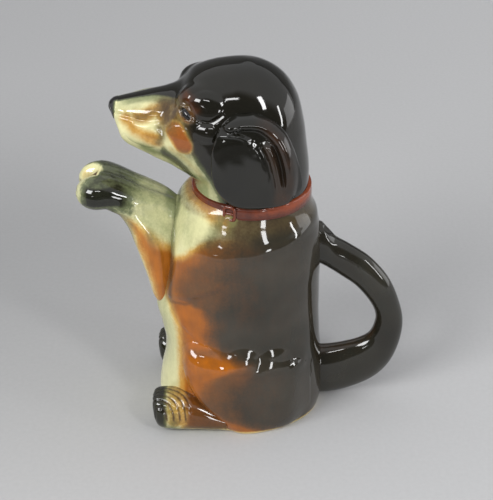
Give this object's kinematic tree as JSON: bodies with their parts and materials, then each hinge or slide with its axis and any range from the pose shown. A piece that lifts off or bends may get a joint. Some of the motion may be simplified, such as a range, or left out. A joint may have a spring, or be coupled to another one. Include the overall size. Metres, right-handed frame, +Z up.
{
  "type": "dog pitcher",
  "caption": "Figural glazed pottery jug: a hound that sits up and begs, its forelegs a spout, its curled tail the handle and its head a lift-off lid.",
  "frame": {"origin": "on the table under the middle of the jug's length, from the paw tips to the tail handle", "axes": "+Z up, the dog faces -X with its tail handle at +X, its left side towards -Y"},
  "size_m": [0.173, 0.082, 0.2036],
  "materials": {
    "body_glaze": "black glaze airbrushed to chestnut and cream, glossy",
    "spout_glaze": "cream glaze airbrushed with chestnut and black, glossy",
    "handle_glaze": "black brown glaze, glossy",
    "collar_glaze": "red brown glaze, glossy",
    "foot_glaze": "cream glaze with dark toes, glossy",
    "head_glaze": "black glaze airbrushed to tan and cream on the muzzle, glossy",
    "ear_glaze": "black glaze, glossy",
    "nose_glaze": "black glaze, glossy",
    "eye_glaze": "dark glaze, glossy",
    "bare_clay": "unglazed clay, matt"
  },
  "bodies": {
    "jug": {"jug_body": "body_glaze", "foreleg_spout": "spout_glaze", "tail_handle": "handle_glaze", "collar_band": "collar_glaze", "collar_buckle": "collar_glaze", "left_hind_foot": "foot_glaze", "right_hind_foot": "foot_glaze"},
    "lid": {"head_shell": "head_glaze", "lid_flange": "bare_clay", "nose": "nose_glaze", "left_ear": "ear_glaze", "left_eye": "eye_glaze", "right_ear": "ear_glaze", "right_eye": "eye_glaze"}
  },
  "joints": [
    {"name": "lid_lift", "type": "slide", "parent": "jug", "child": "lid", "axis": [0, 0, 1], "range_m": [0, 0.12]}
  ]
}
